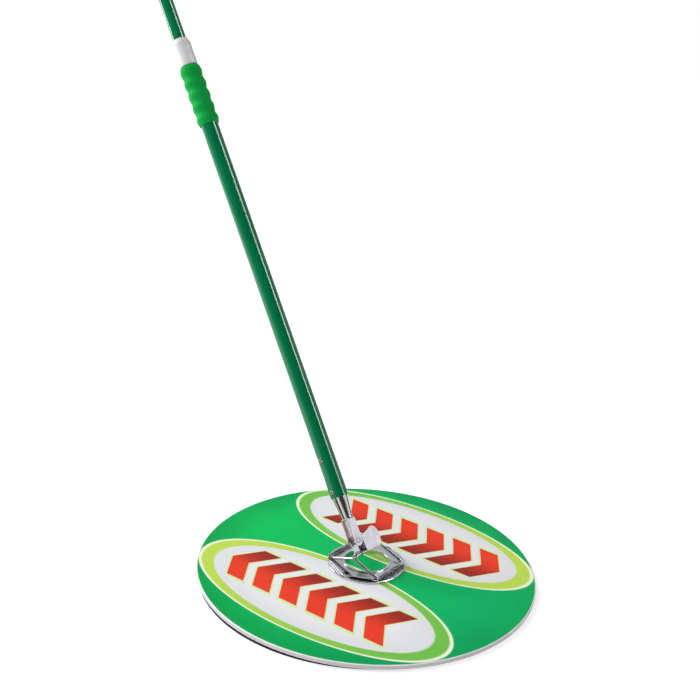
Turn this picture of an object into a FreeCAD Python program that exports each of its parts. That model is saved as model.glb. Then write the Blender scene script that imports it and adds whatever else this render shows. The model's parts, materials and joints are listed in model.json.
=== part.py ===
"""Round push mop for smooth floors: a stiff printed board on a soft pad, turning on a flat ball bearing.

A wire cradle on the bearing carries a crossbar.  A sprung clip hooks onto the crossbar, and the handle's
yoke swivels on the clip, so the handle leans every way while the board stays flat.  The handle is two
tubes, one sliding in the other and held by a twist lock.  Millimetres; +Z is up and the floor is Z = 0.
"""
import FreeCAD, Part
import math
import os

import Sketcher
from FreeCAD import Placement, Rotation, Vector

SIZES = {
    # board and what lies under it
    "board_radius": 305, "board_thickness": 8, "edge_round": 1,
    "pad_radius": 285, "pad_thickness": 3.5, "pad_shift": 20,
    "hook_radius": 262, "hook_thickness": 1.5,
    "sheet_radius": 303, "sheet_thickness": 0.3,
    # turntable bearing
    "bearing_radius": 70, "bearing_bore": 41.2, "base_thickness": 4.2, "bearing_pitch": 48,
    "ball_radius": 1.5, "race_radius": 1.6, "race_depth": 0.8, "ball_slack": 0.05, "ball_count": 24,
    "cage_half_width": 2.5, "cage_thickness": 1, "rim_inner": 40, "rim_lip": 44.5, "rim_lip_thickness": 1,
    "top_bore": 41.6, "top_thickness": 1.5, "lip_gap": 0.3,
    "side_half_length": 42, "side_reach": 56, "flange_height": 8.5, "flange_thickness": 1.5,
    # fasteners through the board
    "screw_circle": 61, "screw_count": 4, "screw_radius": 2.45, "screw_head_radius": 4.5,
    "screw_head_depth": 2, "screw_length": 12, "socket_radius": 1.7, "socket_depth": 1.5,
    "screw_slack": 0.05, "access_radius": 6,
    "nut_barrel_radius": 3.5, "nut_barrel_length": 7, "nut_flange_radius": 9, "nut_flange_thickness": 1.2,
    # wire cradle
    "wire_radius": 2.5, "cradle_height": 30.5, "cradle_half_span": 38.5, "foot_length": 8, "wire_bend": 12,
    "crossbar_half": 41.5, "collar_radius": 4.4, "collar_length": 13, "collar_chamfer": 0.7,
    # clip
    "clip_sheet": 2, "hook_slack": 0.1, "hook_start": -20, "clip_end": 12, "clip_top": 28,
    "clip_corner": 5, "clip_clearance": 5, "ear_radius": 4, "ear_sheet": 1.5,
    "pin_height": 24, "pin_offset": -21.3, "lug_radius": 9, "small_hole": 1.6,
    # thumb lever
    "lever_face": 4.9, "lever_sheet": 1.5, "lever_start": -7.5, "lever_bend_line": 12,
    "lever_top": 28, "lever_bottom": 3, "paddle_length": 23, "paddle_top": 35, "paddle_round": 14,
    "paddle_foot_round": 12, "paddle_shoulder": 31, "paddle_angle": 5,
    "tongue_start": -2.6, "tongue_length": 8, "tongue_height": 3.1,
    "lever_pin_radius": 1.5, "lever_pin_height": 15, "lever_pin_depth": 0.4, "pin_slack": 0.05,
    "spring_radius": 2.3, "spring_wire": 0.4, "spring_pitch": 0.96, "spring_turns": 6, "spring_leg": 6,
    "spring_leg_wire": 0.38,
    # yoke
    "yoke_inner": 5.9, "yoke_sheet": 2.2, "yoke_half_width": 10, "yoke_length": 42.5, "yoke_round": 2,
    "swivel_pin_radius": 4, "pin_head_radius": 6, "pin_head_thickness": 1.5,
    "spacer_radius": 6.5, "rivet_radius": 3, "rivet_head_radius": 5, "rivet_head_thickness": 1.6,
    # handle
    "tube_radius": 16.3, "tube_wall": 1.2, "tube_start": 83, "tube_end": 957,
    "ferrule_tip_radius": 9.5, "ferrule_wall": 2.8, "ferrule_shoulder": 84, "ferrule_end": 170,
    "crimp_radius": 6, "crimp_depth": 2, "crimp_count": 5,
    "side_rivet_first": 11, "side_rivet_step": 60, "side_rivet_head": 4.5, "side_rivet_hole": 1.6,
    "grip_start": 815.5, "grip_length": 121, "grip_radius": 20.2, "grip_wave": 1, "grip_waves": 5,
    "grip_round": 3,
    "collar_skin": 17.5, "collar_start": 937, "collar_end": 992, "collar_taper": 9, "collar_mouth": 14.6,
    "slide_slack": 0.3,
    "inner_radius": 12.7, "inner_wall": 1, "inner_start": 797, "inner_end": 1510,
    "plug_length": 30, "plug_flange": 4, "sleeve_length": 28, "core_top_radius": 10,
    "core_bottom_radius": 7.5, "sleeve_slot": 2.5, "core_washer": 3,
    "cap_radius": 14.2, "cap_skirt": 32, "cap_height": 30, "hang_height": 8, "hang_radius": 5,
    # rest pose, in degrees
    "pad_shift_angle": 225, "turntable_angle": -36.5, "clip_lean": 34.25, "yoke_swing": 5.4,
}

FULL_TURN = 360
HALF_TURN = 180
QUARTER_TURN = 90
FACE_TOLERANCE = 1e-4
WAVE_SAMPLES = 4


class Size:
    """A length that carries its number together with the sheet formula it comes from."""

    def __init__(self, number, formula):
        self.number = number
        self.formula = formula

    def joined(self, sign, other, number):
        return Size(number, f"({self.formula} {sign} {as_size(other).formula})")

    def __add__(self, other):
        return self.joined("+", other, self.number + as_size(other).number)

    def __sub__(self, other):
        return self.joined("-", other, self.number - as_size(other).number)

    def __mul__(self, other):
        return self.joined("*", other, self.number * as_size(other).number)

    def __truediv__(self, other):
        return self.joined("/", other, self.number / as_size(other).number)

    def __neg__(self):
        return Size(-self.number, f"(-1 * {self.formula})")


def as_size(value):
    """Plain numbers join in with sheet sizes."""
    return value if isinstance(value, Size) else Size(float(value), repr(float(value)))


def root(value):
    """Square root of a size."""
    return Size(math.sqrt(value.number), f"sqrt({value.formula})")


doc = FreeCAD.newDocument("floor_mop")


def fill_sheet():
    """Put every driving dimension in the sheet under its own alias."""
    sheet = doc.addObject("Spreadsheet::Sheet", "Sizes")
    for row, (alias, value) in enumerate(SIZES.items(), start=1):
        sheet.set(f"A{row}", alias)
        sheet.set(f"B{row}", str(value))
        sheet.setAlias(f"B{row}", alias)
    doc.recompute()
    return sheet


sheet = fill_sheet()


def size(alias):
    """The named driving dimension, as a number with its formula."""
    return Size(float(sheet.get(alias)), f"Sizes.{alias}")


# ---------------------------------------------------------------- sketches and features


def plane_of(body, role):
    """One of the body's own origin planes or axes."""
    return next(item for item in body.Origin.OriginFeatures if item.Role == role)


def attach(feature, body, role, lift=0):
    """Lay a sketch or a primitive on an origin plane, lifted along the plane's normal."""
    feature.AttachmentSupport = [(plane_of(body, role), "")]
    feature.MapMode = "FlatFace"
    lift = as_size(lift)
    feature.AttachmentOffset = Placement(Vector(0, 0, lift.number), Rotation())
    feature.setExpression("AttachmentOffset.Base.z", lift.formula)


def new_sketch(body, role, lift=0):
    sketch = body.newObject("Sketcher::SketchObject", "Sketch")
    attach(sketch, body, role, lift)
    return sketch


def bind(sketch, constraint, formula):
    """Add a constraint and tie its value to the sheet."""
    index = sketch.addConstraint(constraint)
    sketch.setExpression(f"Constraints[{index}]", formula)


def pin_point(sketch, geometry, end, corner):
    """Fix one point of a sketch at sheet-driven coordinates."""
    bind(sketch, Sketcher.Constraint("DistanceX", geometry, end, corner[0].number), corner[0].formula)
    bind(sketch, Sketcher.Constraint("DistanceY", geometry, end, corner[1].number), corner[1].formula)


def arc_between(start, finish, radius):
    """The short arc between two points: it turns left for a positive radius and right for a negative one."""
    middle = (start + finish) / 2
    chord = finish - start
    side = Vector(-chord.y, chord.x, 0).normalize()
    rise = math.sqrt(max(radius**2 - (chord.Length / 2) ** 2, 0))
    centre = middle + side * math.copysign(rise, radius)
    first, last = (start, finish) if radius > 0 else (finish, start)
    angles = [math.atan2(point.y - centre.y, point.x - centre.x) for point in (first, last)]
    return Part.ArcOfCircle(Part.Circle(centre, Vector(0, 0, 1), abs(radius)), *angles)


def draw_outline(sketch, corners):
    """Closed outline.  A corner is (x, y), or (x, y, radius) where an arc of that radius leads to it."""
    corners = [tuple(as_size(value) for value in corner) for corner in corners]
    points = [Vector(corner[0].number, corner[1].number, 0) for corner in corners]
    starts = []
    for index, corner in enumerate(corners):
        before = points[index - 1]
        if len(corner) == 2:
            line = sketch.addGeometry(Part.LineSegment(before, points[index]))
            starts.append((line, 1, 2))
            continue
        radius = corner[2]
        arc = sketch.addGeometry(arc_between(before, points[index], radius.number))
        starts.append((arc, 1, 2) if radius.number > 0 else (arc, 2, 1))
        reach = radius if radius.number > 0 else -radius
        if 2 * reach.number > (points[index] - before).Length + FACE_TOLERANCE:
            bind(sketch, Sketcher.Constraint("Radius", arc, reach.number), reach.formula)
        else:
            middle = (corners[index - 1][0] + corner[0]) / 2
            bind(sketch, Sketcher.Constraint("DistanceX", arc, 3, middle.number), middle.formula)
    for index, (geometry, first, last) in enumerate(starts):
        following = starts[(index + 1) % len(starts)]
        sketch.addConstraint(Sketcher.Constraint("Coincident", geometry, last, following[0], following[1]))
        pin_point(sketch, geometry, last, corners[index])


def draw_circle(sketch, centre, radius):
    """Circle at sheet-driven coordinates."""
    centre = [as_size(value) for value in centre]
    radius = as_size(radius)
    place = Vector(centre[0].number, centre[1].number, 0)
    circle = sketch.addGeometry(Part.Circle(place, Vector(0, 0, 1), radius.number))
    bind(sketch, Sketcher.Constraint("Radius", circle, radius.number), radius.formula)
    pin_point(sketch, circle, 3, centre)


def new_body(label):
    body = doc.addObject("PartDesign::Body", label)
    body.Label = label
    return body


def pad(body, sketch, length, reverse=False):
    """Thicken a sketch along its normal."""
    feature = body.newObject("PartDesign::Pad", "Pad")
    feature.Profile = sketch
    feature.Reversed = reverse
    feature.setExpression("Length", as_size(length).formula)
    return feature


def plate(body, role, lift, thickness, corners):
    """Flat plate with the given outline, standing on a lifted origin plane."""
    sketch = new_sketch(body, role, lift)
    draw_outline(sketch, corners)
    return pad(body, sketch, thickness)


def disc(label, radius, lift, thickness, bore=None):
    """Round plate, or a ring or tube where a bore is given."""
    body = new_body(label)
    sketch = new_sketch(body, "XY_Plane", lift)
    draw_circle(sketch, (0, 0), radius)
    if bore is not None:
        draw_circle(sketch, (0, 0), bore)
    pad(body, sketch, thickness)
    return body


def turned(label, corners):
    """Solid of revolution about +Z; corners are (radius, height)."""
    body = new_body(label)
    sketch = new_sketch(body, "XZ_Plane")
    draw_outline(sketch, corners)
    feature = body.newObject("PartDesign::Revolution", "Revolution")
    feature.Profile = sketch
    feature.ReferenceAxis = (sketch, ["V_Axis"])
    feature.Angle = FULL_TURN
    return body


def cut(body, feature):
    """Check that a cutting feature has really removed something."""
    doc.recompute()
    if feature.Shape.Volume >= feature.BaseFeature.Shape.Volume:
        raise ValueError(f"{feature.Label} in {body.Label} cuts nothing")
    return feature


def drill(body, role, holes, both_ways=False, reverse=False):
    """Round holes right through, from an origin plane; each hole is (x, y, radius)."""
    sketch = new_sketch(body, role)
    for across, along, radius in holes:
        draw_circle(sketch, (across, along), radius)
    feature = body.newObject("PartDesign::Pocket", "Pocket")
    feature.Profile = sketch
    feature.Type = "ThroughAll"
    feature.Midplane = both_ways
    feature.Reversed = reverse
    return cut(body, feature)


def trim(body, role, lift, depth, corners):
    """Cut an outline out of a body, from the lifted plane along its normal."""
    sketch = new_sketch(body, role, lift)
    draw_outline(sketch, corners)
    feature = body.newObject("PartDesign::Pocket", "Pocket")
    feature.Profile = sketch
    feature.Reversed = True
    feature.setExpression("Length", as_size(depth).formula)
    return cut(body, feature)


def sink(body, kind, reach, lift, sizes):
    """Subtractive primitive standing on the XY plane at a distance along +X."""
    feature = body.newObject(f"PartDesign::Subtractive{kind}", kind)
    attach(feature, body, "XY_Plane", lift)
    feature.setExpression("AttachmentOffset.Base.x", as_size(reach).formula)
    for name, value in sizes.items():
        feature.setExpression(name, as_size(value).formula)
    return cut(body, feature)


def around(body, features, count):
    """Repeat features around +Z."""
    pattern = body.newObject("PartDesign::PolarPattern", "PolarPattern")
    pattern.Originals = features
    pattern.Axis = (plane_of(body, "Z_Axis"), [""])
    pattern.Angle = FULL_TURN
    pattern.setExpression("Occurrences", count.formula)
    body.Tip = pattern
    return cut(body, pattern)


def group(label, source, places):
    """One node made of separate identical solids: a link to the source at every place."""
    links = []
    for place in places:
        link = doc.addObject("App::Link", "Copy")
        link.LinkedObject = source
        link.LinkTransform = False
        link.Placement = place
        links.append(link)
    compound = doc.addObject("Part::Compound", label)
    compound.Label = label
    compound.Links = links
    return compound


def ring_places(radius, height, count, first=0):
    """Places spread evenly on a circle around +Z."""
    step = FULL_TURN / count
    return [
        Placement(Vector(0, 0, height), Rotation(Vector(0, 0, 1), first + step * index))
        * Placement(Vector(radius, 0, 0), Rotation())
        for index in range(int(count))
    ]


def bent_path(points, radius):
    """Wire through the points with every inner corner rounded."""
    edges = []
    start = points[0]
    for before, corner, after in zip(points, points[1:], points[2:]):
        back = (before - corner).normalize()
        ahead = (after - corner).normalize()
        half_angle = back.getAngle(ahead) / 2
        reach = radius / math.tan(half_angle)
        inward = (back + ahead).normalize()
        middle = corner + inward * (radius / math.sin(half_angle) - radius)
        first = corner + back * reach
        last = corner + ahead * reach
        edges += [Part.LineSegment(start, first).toShape(), Part.Arc(first, middle, last).toShape()]
        start = last
    edges.append(Part.LineSegment(start, points[-1]).toShape())
    return Part.Wire(edges)


def swept(path, radius):
    """Round bar along a path."""
    edge = path.Edges[0]
    start = edge.valueAt(edge.FirstParameter)
    heading = edge.tangentAt(edge.FirstParameter)
    profile = Part.Wire(Part.makeCircle(radius, start, heading))
    return path.makePipeShell([profile], True, True)


def solid_feature(label, shape, place):
    """Shape built with Part functions, for a bent wire, a coil or a waved skin."""
    feature = doc.addObject("Part::Feature", label)
    feature.Label = label
    feature.Shape = shape
    feature.Placement = place
    return feature


# ---------------------------------------------------------------- levels and frames

pad_top = size("pad_thickness")
board_base = pad_top + size("hook_thickness")
board_top = board_base + size("board_thickness")
deck = board_top + size("sheet_thickness")
base_top = deck + size("base_thickness")
ball_height = base_top - size("race_depth") + size("ball_radius") + size("ball_slack")
top_under = ball_height + size("ball_radius") + size("ball_slack") - size("race_depth")
top_face = top_under + size("top_thickness")
crossbar_height = deck + size("cradle_height")

head_frame = Placement(Vector(0, 0, 0), Rotation(Vector(0, 0, 1), size("turntable_angle").number))
clip_frame = (
    head_frame
    * Placement(Vector(0, 0, crossbar_height.number), Rotation())
    * Placement(Vector(0, 0, 0), Rotation(Vector(0, 1, 0), -size("clip_lean").number))
)
clip_back = size("wire_radius") + size("hook_slack") + size("clip_sheet")
yoke_middle = size("yoke_inner") - clip_back - size("lip_gap")
yoke_middle_place = Vector(yoke_middle.number, size("pin_offset").number, size("pin_height").number)
handle_frame = clip_frame * Placement(
    yoke_middle_place, Rotation(Vector(1, 0, 0), -size("yoke_swing").number)
)
world_frame = Placement()


# ---------------------------------------------------------------- board


def floor_pad():
    """Soft pad that touches the floor, laid a little off centre under the board."""
    body = disc("floor_pad", size("pad_radius"), 0, size("pad_thickness"))
    toward = Rotation(Vector(0, 0, 1), size("pad_shift_angle").number)
    body.Placement = Placement(toward.multVec(Vector(size("pad_shift").number, 0, 0)), Rotation())
    return body


def hook_layer():
    """Hook-tape layer that holds the pad."""
    return disc("hook_layer", size("hook_radius"), pad_top, size("hook_thickness"))


def board():
    """Stiff foam board with rounded rims and four counterbored holes."""
    radius = size("board_radius")
    curve = size("edge_round")
    body = turned(
        "board",
        [
            (0, board_base),
            (radius - curve, board_base),
            (radius, board_base + curve, curve),
            (radius, board_top - curve),
            (radius - curve, board_top, curve),
            (0, board_top),
        ],
    )
    slack = size("screw_slack")
    bore = sink(
        body, "Cylinder", size("screw_circle"), board_base,
        {"Radius": size("nut_barrel_radius") + slack, "Height": size("board_thickness")},
    )
    seat = sink(
        body, "Cylinder", size("screw_circle"), board_base,
        {"Radius": size("nut_flange_radius") + slack, "Height": size("nut_flange_thickness") + slack},
    )
    around(body, [bore, seat], size("screw_count"))
    body.Placement = head_frame
    return body


def printed_sheet():
    """Thin printed sheet glued on the board, with the four screw holes."""
    body = disc("printed_sheet", size("sheet_radius"), board_top, size("sheet_thickness"))
    hole = sink(
        body, "Cylinder", size("screw_circle"), board_top,
        {"Radius": size("nut_barrel_radius"), "Height": size("sheet_thickness")},
    )
    around(body, [hole], size("screw_count"))
    body.Placement = head_frame
    return body


def tee_nuts():
    """Four flanged nuts let into the underside of the board."""
    bore = size("screw_radius") + size("screw_slack")
    nut = turned(
        "tee_nut_source",
        [
            (bore, 0),
            (size("nut_flange_radius"), 0),
            (size("nut_flange_radius"), size("nut_flange_thickness")),
            (size("nut_barrel_radius"), size("nut_flange_thickness")),
            (size("nut_barrel_radius"), size("nut_barrel_length")),
            (bore, size("nut_barrel_length")),
        ],
    )
    first = size("turntable_angle").number
    places = ring_places(size("screw_circle").number, board_base.number, size("screw_count").number, first)
    return group("tee_nuts", nut, places)


# ---------------------------------------------------------------- bearing


def race_corners(middle, level, side):
    """The two ends of a race groove in a flat face, with its arc; side is +1 to travel outwards."""
    radius = size("race_radius")
    depth = size("race_depth")
    half = root(depth * (radius * 2 - depth))
    return [(middle - half * side, level), (middle + half * side, level, -radius)]


def bearing_base():
    """Round lower plate with the lower race and four countersunk holes."""
    top = size("base_thickness")
    edge = size("edge_round")
    radius = size("bearing_radius")
    body = turned(
        "bearing_base",
        [
            (size("bearing_bore"), 0),
            (radius, 0),
            (radius, top - edge),
            (radius - edge, top, edge),
            *race_corners(size("bearing_pitch"), top, -1),
            (size("bearing_bore"), top),
        ],
    )
    slack = size("screw_slack")
    bore = sink(
        body, "Cylinder", size("screw_circle"), 0, {"Radius": size("screw_radius") + slack, "Height": top}
    )
    seat = sink(
        body, "Cone", size("screw_circle"), top - size("screw_head_depth"),
        {
            "Radius1": size("screw_radius") + slack,
            "Radius2": size("screw_head_radius") + slack,
            "Height": size("screw_head_depth"),
        },
    )
    around(body, [bore, seat], size("screw_count"))
    body.Placement = Placement(Vector(0, 0, deck.number), head_frame.Rotation)
    return body


def base_screws():
    """Four countersunk screws with hexagon sockets."""
    screw = turned(
        "screw_source",
        [
            (0, -size("screw_length")),
            (size("screw_radius"), -size("screw_length")),
            (size("screw_radius"), -size("screw_head_depth")),
            (size("screw_head_radius"), 0),
            (0, 0),
        ],
    )
    sink(
        screw, "Prism", 0, -size("socket_depth"),
        {"Circumradius": size("socket_radius"), "Height": size("socket_depth")},
    )
    first = size("turntable_angle").number
    places = ring_places(size("screw_circle").number, base_top.number, size("screw_count").number, first)
    return group("base_screws", screw, places)


def retaining_rim():
    """Rolled rim pressed into the base; its lip keeps the upper plate down."""
    lip_under = top_face - deck + size("lip_gap")
    thickness = size("rim_lip_thickness")
    inner = size("rim_inner")
    body = turned(
        "retaining_rim",
        [
            (inner, 0),
            (size("bearing_bore"), 0),
            (size("bearing_bore"), lip_under),
            (size("rim_lip") - thickness / 2, lip_under),
            (size("rim_lip") - thickness / 2, lip_under + thickness, thickness / 2),
            (inner + thickness / 2, lip_under + thickness),
            (inner, lip_under + thickness / 2, thickness / 2),
        ],
    )
    body.Placement = Placement(Vector(0, 0, deck.number), Rotation())
    return body


def bearing_balls():
    """The ring of balls."""
    ball = doc.addObject("Part::Sphere", "ball_source")
    ball.setExpression("Radius", size("ball_radius").formula)
    count = size("ball_count").number
    return group("bearing_balls", ball, ring_places(size("bearing_pitch").number, ball_height.number, count))


def ball_cage():
    """Flat ring that spaces the balls."""
    thickness = size("cage_thickness")
    half = size("cage_half_width")
    body = disc("ball_cage", size("bearing_pitch") + half, 0, thickness, size("bearing_pitch") - half)
    hole = sink(
        body, "Cylinder", size("bearing_pitch"), 0, {"Radius": size("race_radius"), "Height": thickness}
    )
    around(body, [hole], size("ball_count"))
    body.Placement = Placement(Vector(0, 0, (ball_height - thickness / 2).number), Rotation())
    return body


def turntable_plate():
    """Six-sided upper plate with two upturned sides, the bore, the upper race and two access holes."""
    reach = size("side_reach")
    half = size("side_half_length")
    point = size("bearing_radius")
    thickness = size("top_thickness")
    body = new_body("turntable_plate")
    plate(
        body, "XY_Plane", 0, thickness,
        [(reach, -half), (reach, half), (0, point), (-reach, half), (-reach, -half), (0, -point)],
    )
    wall = size("flange_thickness")
    for start in (reach - wall, -reach):
        plate(
            body, "XY_Plane", 0, size("flange_height"),
            [(start, -half), (start + wall, -half), (start + wall, half), (start, half)],
        )
    drill(
        body, "XY_Plane",
        [
            (0, 0, size("top_bore")),
            (0, size("screw_circle"), size("access_radius")),
            (0, -size("screw_circle"), size("access_radius")),
        ],
        reverse=True,
    )
    sketch = new_sketch(body, "XZ_Plane")
    draw_outline(sketch, race_corners(size("bearing_pitch"), as_size(0), 1))
    groove = body.newObject("PartDesign::Groove", "Groove")
    groove.Profile = sketch
    groove.ReferenceAxis = (sketch, ["V_Axis"])
    groove.Angle = FULL_TURN
    cut(body, groove)
    body.Placement = head_frame * Placement(Vector(0, 0, top_under.number), Rotation())
    return body


# ---------------------------------------------------------------- cradle


def cradle_wires():
    """Two bent wires; each stands on the plate at both sides and passes under one end of the crossbar."""
    radius = size("wire_radius").number
    bend = size("wire_bend").number
    low = (top_face + size("wire_radius")).number
    crest = crossbar_height.number - 2 * radius
    outside = (size("side_reach") - size("flange_thickness")).number
    inside = outside - size("foot_length").number
    slope = math.atan2(crest - low, inside)
    corner = crest + bend * (1 / math.cos(slope) - 1)
    places = [Vector(-outside, 0, low), Vector(-inside, 0, low), Vector(0, 0, corner)]
    places += [Vector(inside, 0, low), Vector(outside, 0, low)]
    wire = solid_feature("wire_source", swept(bent_path(places, bend), radius), world_frame)
    span = size("cradle_half_span").number
    return group(
        "cradle_wires", wire,
        [head_frame * Placement(Vector(0, side * span, 0), Rotation()) for side in (-1, 1)],
    )


def crossbar():
    """Round bar lying on the crests of the two wires."""
    bar = doc.addObject("Part::Cylinder", "crossbar")
    bar.Label = "crossbar"
    bar.setExpression("Radius", size("wire_radius").formula)
    bar.setExpression("Height", (size("crossbar_half") * 2).formula)
    bar.Placement = clip_frame * along_crossbar(-size("crossbar_half"))
    return bar


def along_crossbar(position):
    """Turn +Z onto the crossbar, at a distance along it."""
    return Placement(Vector(0, position.number, 0), Rotation(Vector(1, 0, 0), -QUARTER_TURN))


def end_collars():
    """Two round collars on the crossbar, just inside the wires."""
    length = size("collar_length")
    slant = size("collar_chamfer")
    outer = size("collar_radius")
    ring = turned(
        "collar_source",
        [
            (size("wire_radius"), 0),
            (outer - slant, 0),
            (outer, slant),
            (outer, length - slant),
            (outer - slant, length),
            (size("wire_radius"), length),
        ],
    )
    inside = size("cradle_half_span") - size("wire_radius")
    ends = (-inside, inside - length)
    return group("end_collars", ring, [clip_frame * along_crossbar(end) for end in ends])


# ---------------------------------------------------------------- clip


def clip_plate():
    """Sheet plate hooked under the crossbar, with the swivel lug and two ears for the lever."""
    body = new_body("clip_plate")
    inner = size("wire_radius") + size("hook_slack")
    outer = clip_back
    start = size("hook_start")
    clear = size("clip_clearance")
    finish = size("clip_end")
    top = size("clip_top")
    lug = size("lug_radius")
    bend = size("clip_corner")
    middle = size("pin_offset")
    centre = size("pin_height")
    left = middle - lug
    plate(
        body, "YZ_Plane", -outer, size("clip_sheet"),
        [
            (start, 0),
            (finish, 0),
            (finish, top - bend),
            (finish - bend, top, bend),
            (middle + lug, top),
            (middle + lug, centre),
            (middle, centre + lug, lug),
            (left, centre, lug),
            (left, clear),
            (start, clear),
        ],
    )
    plate(
        body, "XZ_Plane", -finish, finish - start,
        [
            (-outer, 0),
            (0, -outer, outer),
            (outer, 0, outer),
            (inner, 0),
            (0, -inner, -inner),
            (-inner, 0, -inner),
        ],
    )
    ear = size("ear_radius")
    axis = size("lever_pin_height")
    tip = size("lever_pin_depth")
    for place in (finish - size("ear_sheet"), size("lever_start") - size("ear_sheet") - size("lip_gap")):
        plate(
            body, "XZ_Plane", -(place + size("ear_sheet")), size("ear_sheet"),
            [
                (-outer, axis - ear),
                (tip, axis - ear),
                (tip + ear, axis, ear),
                (tip, axis + ear, ear),
                (-outer, axis + ear),
            ],
        )
    drill(body, "XZ_Plane", [(tip, axis, size("lever_pin_radius") + size("pin_slack"))], both_ways=True)
    drill(
        body, "YZ_Plane",
        [
            (middle, centre, size("swivel_pin_radius") + size("pin_slack")),
            (finish - bend, top - size("small_hole") * 2, size("small_hole")),
            (size("lever_start") - bend / 2, top - bend * 2, size("small_hole")),
        ],
        both_ways=True,
    )
    body.Placement = clip_frame
    return body


def lever_pin():
    """Hinge pin of the thumb lever, held in the clip's ears."""
    pin = doc.addObject("Part::Cylinder", "lever_pin")
    pin.Label = "lever_pin"
    stub = size("ear_sheet") / 2
    start = size("lever_start") - size("ear_sheet") - stub
    pin.setExpression("Radius", size("lever_pin_radius").formula)
    pin.setExpression("Height", (size("clip_end") - start + stub).formula)
    pin.Placement = clip_frame * lever_axis() * along_crossbar(start)
    return pin


def lever_axis():
    """The lever's hinge line, parallel to the crossbar."""
    return Placement(Vector(size("lever_pin_depth").number, 0, size("lever_pin_height").number), Rotation())


def lever_spring():
    """Torsion coil around the hinge pin with one leg down the lever and one up the plate."""
    wire = size("spring_wire").number
    radius = size("spring_radius").number
    turns = size("spring_turns").number
    pitch = size("spring_pitch").number
    leg = size("spring_leg").number
    leg_wire = size("spring_leg_wire").number
    length = pitch * turns
    coil = swept(Part.Wire(Part.makeHelix(pitch, length, radius).Edges), wire)
    up = Part.makeCylinder(leg_wire, leg, Vector(radius, 2 * wire, 0), Vector(0, -1, 0))
    down = Part.makeCylinder(leg_wire, leg, Vector(radius, -2 * wire, length), Vector(0, 1, 0))
    start = size("tongue_start") + (size("tongue_length") - length) / 2
    turn = Placement(Vector(0, 0, 0), Rotation(Vector(0, 0, 1), HALF_TURN))
    place = clip_frame * lever_axis() * along_crossbar(start) * turn
    return solid_feature("lever_spring", coil.fuse([up, down]), place)


def thumb_lever():
    """Sheet lever in front of the clip: face, tongue over the crossbar, two ears and a bent paddle."""
    body = new_body("thumb_lever")
    face = size("lever_face")
    sheet_thickness = size("lever_sheet")
    start = size("lever_start")
    line = size("lever_bend_line")
    bottom = -size("lever_bottom")
    top = size("lever_top")
    curve = size("clip_corner")
    plate(
        body, "YZ_Plane", face, sheet_thickness,
        [
            (start, bottom + curve),
            (start + curve, bottom, curve),
            (line, bottom),
            (line, size("paddle_shoulder")),
            (start + curve, top),
            (start, top - curve, curve),
        ],
    )
    paddle(body, face, sheet_thickness, line, bottom)
    plate(
        body, "XY_Plane", size("tongue_height"), sheet_thickness,
        [
            (-sheet_thickness, size("tongue_start")),
            (face + sheet_thickness, size("tongue_start")),
            (face + sheet_thickness, size("tongue_start") + size("tongue_length")),
            (-sheet_thickness, size("tongue_start") + size("tongue_length")),
        ],
    )
    ear = size("ear_radius") - sheet_thickness / 2
    axis = size("lever_pin_height")
    tip = size("lever_pin_depth")
    gap = size("lip_gap")
    for place in (start, size("clip_end") - size("ear_sheet") - gap - sheet_thickness):
        plate(
            body, "XZ_Plane", -(place + sheet_thickness), sheet_thickness,
            [
                (face + sheet_thickness, axis - ear),
                (face + sheet_thickness, axis + ear),
                (tip, axis + ear),
                (tip - ear + gap, axis, ear),
                (tip, axis - ear, ear),
            ],
        )
    drill(body, "XZ_Plane", [(tip, axis, size("lever_pin_radius") + size("pin_slack"))], both_ways=True)
    body.Placement = clip_frame
    return body


def paddle(body, face, sheet_thickness, line, bottom):
    """Round-cornered thumb paddle bent a little forwards at the bend line."""
    sketch = new_sketch(body, "YZ_Plane", face)
    bend = Rotation(Vector(0, 1, 0), -size("paddle_angle").number)
    sketch.AttachmentOffset = Placement(Vector(line.number, 0, face.number), bend)
    reach = size("paddle_length")
    crown = size("paddle_top")
    curve = size("paddle_round")
    foot = size("paddle_foot_round")
    draw_outline(
        sketch,
        [
            (0, bottom),
            (reach - foot, bottom),
            (reach, bottom + foot, foot),
            (reach, crown - curve),
            (reach - curve, crown, curve),
            (0, size("paddle_shoulder")),
        ],
    )
    return pad(body, sketch, sheet_thickness)


# ---------------------------------------------------------------- yoke


def yoke():
    """Fork whose two arms straddle the clip; its crown carries the ferrule."""
    body = new_body("yoke")
    half = size("yoke_half_width")
    top = size("yoke_length")
    wall = size("yoke_sheet")
    inner = size("yoke_inner")
    arm = [(half, top), (-half, top), (-half, 0), (0, -half, half), (half, 0, half)]
    for lift in (inner, -(inner + wall)):
        plate(body, "YZ_Plane", lift, wall, arm)
    reach = inner + wall
    plate(
        body, "XY_Plane", top - wall, wall,
        [(-reach, -half), (reach, -half), (reach, half), (-reach, half)],
    )
    drill(body, "YZ_Plane", [(0, 0, size("swivel_pin_radius") + size("pin_slack"))], both_ways=True)
    drill(body, "XY_Plane", [(0, 0, size("rivet_radius") + size("pin_slack"))], reverse=True)
    round_crown(body, top, reach)
    body.Placement = handle_frame
    return body


def round_crown(body, top, reach):
    """Round the two outer bends of the yoke."""
    base = body.Tip
    names = []
    for index, edge in enumerate(base.Shape.Edges, start=1):
        box = edge.BoundBox
        at_top = abs(box.ZMin - top.number) < FACE_TOLERANCE and box.ZLength < FACE_TOLERANCE
        at_side = abs(abs(box.XMin) - reach.number) < FACE_TOLERANCE and box.XLength < FACE_TOLERANCE
        if at_top and at_side:
            names.append(f"Edge{index}")
    fillet = body.newObject("PartDesign::Fillet", "Fillet")
    fillet.Base = (base, names)
    fillet.setExpression("Radius", size("yoke_round").formula)
    return cut(body, fillet)


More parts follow.
